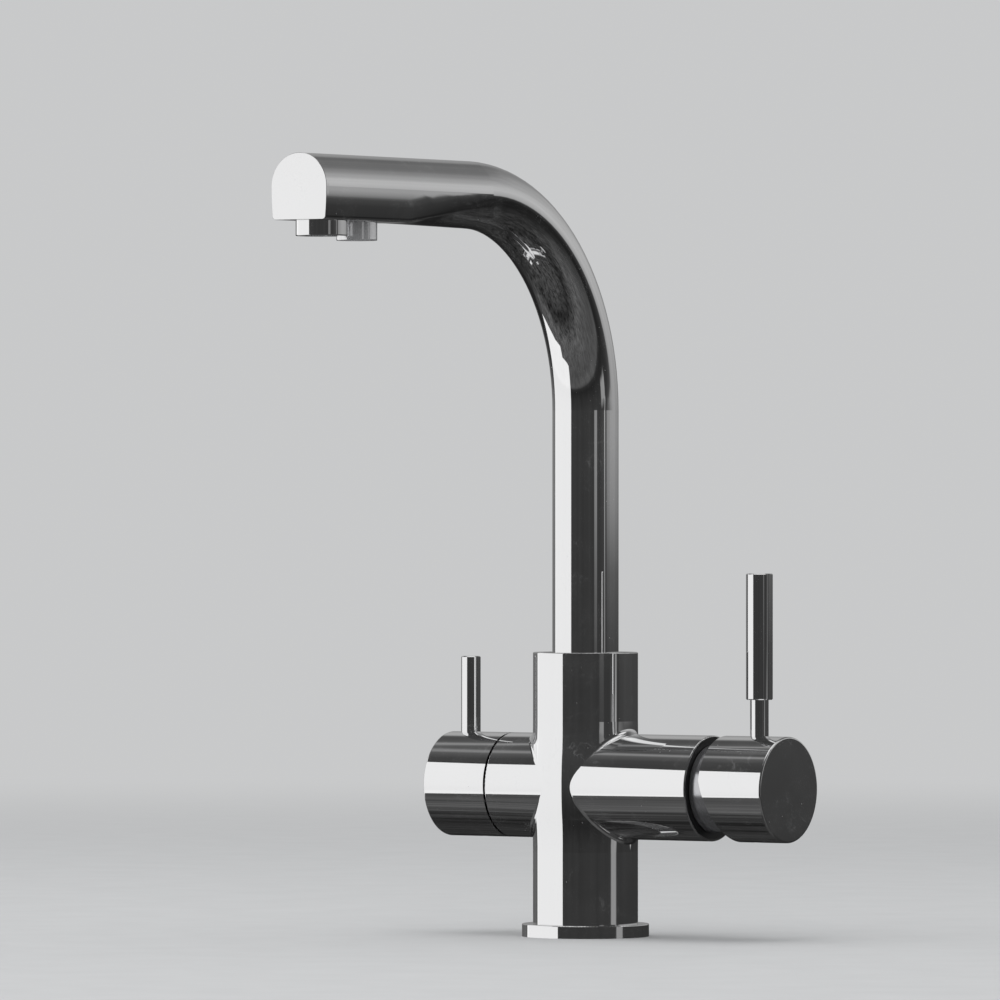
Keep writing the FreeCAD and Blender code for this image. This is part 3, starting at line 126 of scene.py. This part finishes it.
# Lit things in the room: what each adds is its level by height times its level by turn
WALL_BY_HEIGHT = [
    (0.48, 0.0), (0.4925, 0.022), (0.494, 0.03), (0.4955, 0.065), (0.497, 0.075), (0.5015, 0.3),
    (0.535, 0.42), (0.585, 0.5), (0.63, 0.48), (0.715, 0.3), (0.772, 0.16), (0.85, 0.07), (0.92, 0.0),
]
WALL_BY_TURN = [
    (0.0, 0.15), (0.083, 0.1), (0.14, 0.03), (0.5, 0.0), (0.64, 0.02), (0.712, 0.08),
    (0.725, 0.8), (0.81, 1.0), (0.92, 0.75), (1.0, 0.15),
]
CORNER_BY_HEIGHT = [
    (0.4, 0.0), (0.47, 0.06), (0.5, 0.14), (0.63, 0.22), (0.7, 0.28), (0.76, 0.33), (0.785, 0.3),
    (0.81, 0.08), (0.83, 0.02), (0.9, 0.0),
]
CORNER_BY_TURN = [(0.0, 1.0), (0.1, 1.0), (0.135, 0.7), (0.16, 0.0), (0.96, 0.0), (1.0, 1.0)]
POLE_BY_HEIGHT = [
    (0.484, 0.0), (0.49, 0.09), (0.493, 0.22), (0.4952, 0.38), (0.4984, 0.7), (0.501, 1.0),
    (0.507, 1.0), (0.515, 0.7), (0.6, 0.7), (0.66, 0.0),
]
POLE_BY_TURN = [(0.582, 0.0), (0.585, 0.22), (0.61, 0.22), (0.613, 0.0)]
STRIP_BY_HEIGHT = [
    (0.486, 0.0), (0.488, 0.6), (0.498, 0.57), (0.5037, 1.0), (0.507, 1.0), (0.512, 0.4),
    (0.55, 0.36), (0.57, 0.0),
]
STRIP_BY_TURN = [(0.688, 0.0), (0.691, 0.42), (0.698, 0.42), (0.701, 0.0)]
DOOR_BY_HEIGHT = [(0.44, 0.0), (0.455, 1.0), (0.487, 1.0), (0.49, 0.0)]
DOOR_BY_TURN = [(0.658, 0.0), (0.662, 0.25), (0.694, 0.25), (0.699, 0.0)]
LAMP_BY_HEIGHT = [(0.76, 0.0), (0.8, 1.0), (0.9, 1.0), (0.93, 0.0)]
LAMP_BY_TURN = [(0.68, 0.0), (0.71, 0.8), (0.79, 0.8), (0.82, 0.0)]

# Slow mottling of the whole room, and clutter that breaks up its floor
MOTTLE_NOISE = {"scale": 5.0, "detail": 3.0}
MOTTLE_SPREAD = 0.5
MOTTLE_LEAST = 0.75
CLUTTER_NOISE = {"scale": 16.0, "detail": 5.0, "roughness": 0.65}
CLUTTER_STOPS = [(0.35, 0.35), (0.65, 2.0)]
CLUTTER_BY_HEIGHT = [(0.0, 1.0), (0.12, 0.9), (0.3, 0.35), (0.46, 0.1), (0.49, 0.0)]

# The sockets that a colour mix uses, among those of its other data types
MIX_INPUTS = (0, 6, 7)
MIX_OUTPUT = 2


class Nodes:
    """Short calls for building a node tree."""

    def __init__(self, tree):
        self.tree = tree
        tree.nodes.clear()

    def add(self, kind, inputs=None, **settings):
        """A new node. Each input is a number, a colour or the socket that feeds it."""
        node = self.tree.nodes.new(kind)
        for name, setting in settings.items():
            setattr(node, name, setting)
        for key, given in (inputs or {}).items():
            self.feed(node.inputs[key], given)
        return node

    def feed(self, socket, given):
        if isinstance(given, bpy.types.NodeSocket):
            self.tree.links.new(given, socket)
        else:
            socket.default_value = given

    def math(self, operation, first, second=0.0, third=0.0):
        inputs = {0: first, 1: second, 2: third}
        return self.add("ShaderNodeMath", inputs, operation=operation).outputs[0]

    def ramp(self, factor, stops):
        """A grey ramp through (place, level) stops."""
        node = self.add("ShaderNodeValToRGB", {"Fac": factor})
        elements = node.color_ramp.elements
        while len(elements) < len(stops):
            elements.new(1.0)
        for element, (place, level) in zip(elements, stops):
            element.position = place
            element.color = (level, level, level, 1)
        return node.outputs["Color"]

    def mix(self, factor, first, second):
        node = self.add("ShaderNodeMix", data_type="RGBA")
        for index, given in zip(MIX_INPUTS, (factor, first, second)):
            self.feed(node.inputs[index], given)
        return node.outputs[MIX_OUTPUT]

    def noise(self, where, scale, detail, roughness=0.5):
        inputs = {"Vector": where, "Scale": scale, "Detail": detail, "Roughness": roughness}
        return self.add("ShaderNodeTexNoise", inputs).outputs["Fac"]

    def bump(self, height, strength):
        inputs = {"Height": height, "Strength": strength, "Distance": BUMP_DEPTH}
        return self.add("ShaderNodeBump", inputs).outputs["Normal"]

    def object_place(self):
        return self.add("ShaderNodeTexCoord").outputs["Object"]

    def surface(self, shader):
        self.add("ShaderNodeOutputMaterial", {"Surface": shader})

    def principled(self, inputs):
        self.surface(self.add("ShaderNodeBsdfPrincipled", inputs).outputs["BSDF"])


def new_material(name):
    material = bpy.data.materials.new(name)
    material.use_nodes = True
    return material, Nodes(material.node_tree)


def chrome():
    """Polished chrome plate with faint smudges, wipe marks and a few dust specks."""
    material, n = new_material("polished_chrome")
    where = n.object_place()
    smudge = n.ramp(n.noise(where, **SMUDGE_NOISE), SMUDGE_STOPS)
    wipes = n.ramp(n.noise(where, **WIPE_NOISE), WIPE_STOPS)
    cells = n.add("ShaderNodeTexVoronoi", {"Vector": where, "Scale": SPECK_SCALE})
    near_speck = n.math("LESS_THAN", cells.outputs["Distance"], SPECK_RADIUS_SHARE)
    in_patch = n.math("GREATER_THAN", n.noise(where, **SPECK_PATCH_NOISE), SPECK_PATCH_LEVEL)
    speck = n.math("MULTIPLY", near_speck, in_patch)
    rough = n.math("MULTIPLY_ADD", smudge, SMUDGE_ROUGHNESS, CHROME_ROUGHNESS)
    rough = n.math("MULTIPLY_ADD", speck, SPECK_ROUGHNESS, rough)
    # Marks on the plate catch a little light of their own
    haze = n.math("MULTIPLY", smudge, n.math("MULTIPLY_ADD", wipes, WIPE_HAZE, SMUDGE_HAZE))
    haze = n.math("MULTIPLY_ADD", speck, SPECK_HAZE, haze)
    n.principled({
        "Base Color": n.mix(n.noise(where, **CHROME_NOISE), CHROME_DARK, CHROME_LIGHT),
        "Metallic": n.math("SUBTRACT", 1.0, haze),
        "Roughness": rough,
    })
    return material


def turned_metal(name, dark, light, roughness, metallic=1.0):
    """Bare machined metal with fine tool marks and tarnish. Less metallic gives a blasted look."""
    material, n = new_material(name)
    where = n.object_place()
    marks = n.noise(where, **TOOL_MARK_NOISE)
    n.principled({
        "Base Color": n.mix(n.noise(where, **TARNISH_NOISE), dark, light),
        "Metallic": metallic,
        "Roughness": n.math("MULTIPLY_ADD", marks, TOOL_MARK_ROUGHNESS, roughness),
        "Normal": n.bump(marks, TOOL_MARK_BUMP),
    })
    return material


def moulded(name, dark, light, roughness, grain_bump):
    """Moulded plastic, rubber or ceramic: slight mottling and a fine grain."""
    material, n = new_material(name)
    where = n.object_place()
    grain = n.noise(where, **GRAIN_NOISE)
    n.principled({
        "Base Color": n.mix(n.noise(where, **MOTTLING_NOISE), dark, light),
        "Roughness": n.math("MULTIPLY_ADD", grain, GRAIN_ROUGHNESS, roughness),
        "Normal": n.bump(grain, grain_bump),
    })
    return material


def finishes():
    """A material for each slot of the record, with steels of their own for the cartridge's cover, which
    is duller, and the filter nozzle, whose copy of the steel is painted lighter as a painted highlight."""
    return {
        "chrome": chrome(),
        "brass": turned_metal(
            "machined_brass",
            dark=(0.55, 0.38, 0.14, 1), light=(0.76, 0.57, 0.27, 1), roughness=0.22,
        ),
        "steel": turned_metal("satin_steel", STEEL_DARK, STEEL_LIGHT, roughness=0.16, metallic=0.74),
        "cartridge_cover": turned_metal(
            "dull_steel", STEEL_DARK, STEEL_LIGHT, roughness=0.12, metallic=0.92,
        ),
        # The filter nozzle's steel is the satin steel painted lighter: a painted highlight for the light
        # it seems to catch
        "filter_nozzle": turned_metal(
            "painted_lit_steel",
            dark=(0.84, 0.84, 0.85, 1), light=(0.9, 0.9, 0.91, 1), roughness=0.01, metallic=0.74,
        ),
        "rubber": moulded(
            "black_rubber",
            dark=(0.012, 0.012, 0.012, 1), light=(0.03, 0.03, 0.03, 1), roughness=0.6, grain_bump=0.2,
        ),
        "ceramic": moulded(
            "fired_ceramic",
            dark=(0.78, 0.77, 0.73, 1), light=(0.88, 0.87, 0.84, 1), roughness=0.12, grain_bump=0.03,
        ),
        "cartridge_plastic": moulded(
            "cartridge_plastic",
            dark=(0.6, 0.59, 0.55, 1), light=(0.7, 0.69, 0.65, 1), roughness=0.4, grain_bump=0.1,
        ),
        "white_plastic": moulded(
            "white_plastic",
            dark=(0.78, 0.78, 0.76, 1), light=(0.86, 0.86, 0.84, 1), roughness=0.35, grain_bump=0.08,
        ),
        # Near-black ring in the groove at the arm's end: a dark piece that stands in for the shade
        # there, painted shade
        "black_plastic": moulded(
            "black_plastic",
            dark=(0.006, 0.006, 0.006, 1), light=(0.014, 0.014, 0.015, 1), roughness=0.3, grain_bump=0.1,
        ),
        "outlet_plastic": moulded(
            "outlet_plastic",
            dark=(0.3, 0.31, 0.32, 1), light=(0.4, 0.41, 0.42, 1), roughness=0.35, grain_bump=0.1,
        ),
    }


def dress_nodes():
    """Each node takes the finish of its own name, or else that of its slot."""
    made = finishes()
    for name, node in nodes.items():
        node.data.materials.clear()
        node.data.materials.append(made.get(name, made[slot_of[name]]))


def floor():
    """A wide pale floor that melts into the backdrop away from the tap."""
    bpy.ops.mesh.primitive_circle_add(vertices=FLOOR_SIDES, radius=FLOOR_RADIUS, fill_type="NGON")
    disc = bpy.context.object
    disc.name = "floor"
    material, n = new_material("pale_floor")
    where = n.object_place()
    reach = n.add("ShaderNodeVectorMath", {0: where}, operation="LENGTH").outputs["Value"]
    fade = n.add(
        "ShaderNodeMapRange",
        {"Value": reach, "From Min": FLOOR_PLAIN_RADIUS, "From Max": FLOOR_FADE_RADIUS},
        interpolation_type="SMOOTHSTEP",
    ).outputs["Result"]
    tint = n.mix(n.noise(where, **FLOOR_NOISE), FLOOR_DARK, FLOOR_LIGHT)
    plain = n.add("ShaderNodeBsdfDiffuse", {"Color": tint}).outputs["BSDF"]
    glow = n.add("ShaderNodeEmission", {"Color": PALE}).outputs["Emission"]
    n.surface(n.add("ShaderNodeMixShader", {0: fade, 1: plain, 2: glow}).outputs["Shader"])
    disc.data.materials.append(material)
    disc.visible_glossy = False


def soft_light(name, place, target, size, power, mirrored=False):
    """A rectangular soft box that faces a point. The camera never sees it: either the shiny
    pieces mirror it, or it lights the plain ones."""
    light = bpy.data.lights.new(name, "AREA")
    light.shape = "RECTANGLE"
    light.size, light.size_y = size
    light.energy = power
    lamp = bpy.data.objects.new(name, light)
    bpy.context.scene.collection.objects.link(lamp)
    lamp.location = place
    lamp.rotation_euler = (target - place).to_track_quat("-Z", "Y").to_euler()
    lamp.visible_camera = False
    lamp.visible_glossy = mirrored
    lamp.visible_diffuse = not mirrored


def lights():
    """The mirrored box stands square to the camera's left. The others light floor and tap."""
    side_target = SIDE_BOX_PLACE + to_right
    soft_light("side_box", SIDE_BOX_PLACE, side_target, SIDE_BOX_SIZE, SIDE_BOX_POWER, mirrored=True)
    soft_light("side_fill", SIDE_FILL_PLACE, LIT_POINT, SIDE_FILL_SIZE, SIDE_FILL_POWER)
    soft_light("top_box", TOP_BOX_PLACE, LIT_POINT, TOP_BOX_SIZE, TOP_BOX_POWER)
    soft_light("front_fill", FRONT_FILL_PLACE, LIT_POINT, FRONT_FILL_SIZE, FRONT_FILL_POWER)


def studio():
    """The dim room that the chrome mirrors, and the pale backdrop that lights all else."""
    world = bpy.data.worlds.new("studio")
    world.use_nodes = True
    bpy.context.scene.world = world
    n = Nodes(world.node_tree)
    way = n.add("ShaderNodeTexCoord").outputs["Generated"]

    def along(direction):
        inputs = {0: way, 1: direction}
        return n.add("ShaderNodeVectorMath", inputs, operation="DOT_PRODUCT").outputs["Value"]

    height = n.math("MULTIPLY_ADD", along(UP), HORIZON, HORIZON)
    turn = n.math("ARCTAN2", along(to_right), along(to_camera))
    turn = n.math("MULTIPLY_ADD", turn, 1 / math.tau, CAMERA_TURN)
    below = n.math("LESS_THAN", height, HORIZON)
    rear = n.math("MULTIPLY", n.ramp(turn, REAR_BY_TURN), below)
    level = n.mix(rear, n.ramp(height, ROOM_BY_HEIGHT), n.ramp(height, REAR_BY_HEIGHT))
    for by_height, by_turn in (
        (WALL_BY_HEIGHT, WALL_BY_TURN),
        (CORNER_BY_HEIGHT, CORNER_BY_TURN),
        (POLE_BY_HEIGHT, POLE_BY_TURN),
        (STRIP_BY_HEIGHT, STRIP_BY_TURN),
        (DOOR_BY_HEIGHT, DOOR_BY_TURN),
        (LAMP_BY_HEIGHT, LAMP_BY_TURN),
    ):
        level = n.math("MULTIPLY_ADD", n.ramp(height, by_height), n.ramp(turn, by_turn), level)
    mottle = n.math("MULTIPLY_ADD", n.noise(way, **MOTTLE_NOISE), MOTTLE_SPREAD, MOTTLE_LEAST)
    level = n.math("MULTIPLY", level, mottle)
    clutter = n.ramp(n.noise(way, **CLUTTER_NOISE), CLUTTER_STOPS)
    broken = n.math("MULTIPLY", level, clutter)
    level = n.mix(n.ramp(height, CLUTTER_BY_HEIGHT), level, broken)
    mirrored = n.add("ShaderNodeBackground", {"Color": level}).outputs["Background"]
    pale = n.add("ShaderNodeBackground", {"Color": PALE}).outputs["Background"]
    glossy = n.add("ShaderNodeLightPath").outputs["Is Glossy Ray"]
    shown = n.add("ShaderNodeMixShader", {0: glossy, 1: pale, 2: mirrored}).outputs["Shader"]
    n.add("ShaderNodeOutputWorld", {"Surface": shown})


def camera():
    """A long lens, far off and level, so that uprights stay upright."""
    lens = bpy.data.cameras.new("camera")
    lens.lens = LENS_MM
    lens.sensor_width = SENSOR_MM
    lens.clip_end = CAMERA_REACH
    eye = bpy.data.objects.new("camera", lens)
    bpy.context.scene.collection.objects.link(eye)
    eye.location = beside_tap(right=-CAMERA_SIDE_STEP, near=CAMERA_DISTANCE, up=CAMERA_HEIGHT)
    eye.rotation_euler = (math.pi / 2, 0, CAMERA_AZIMUTH)
    bpy.context.scene.camera = eye


dress_nodes()
floor()
lights()
studio()
camera()
bpy.context.scene.view_settings.view_transform = "Standard"
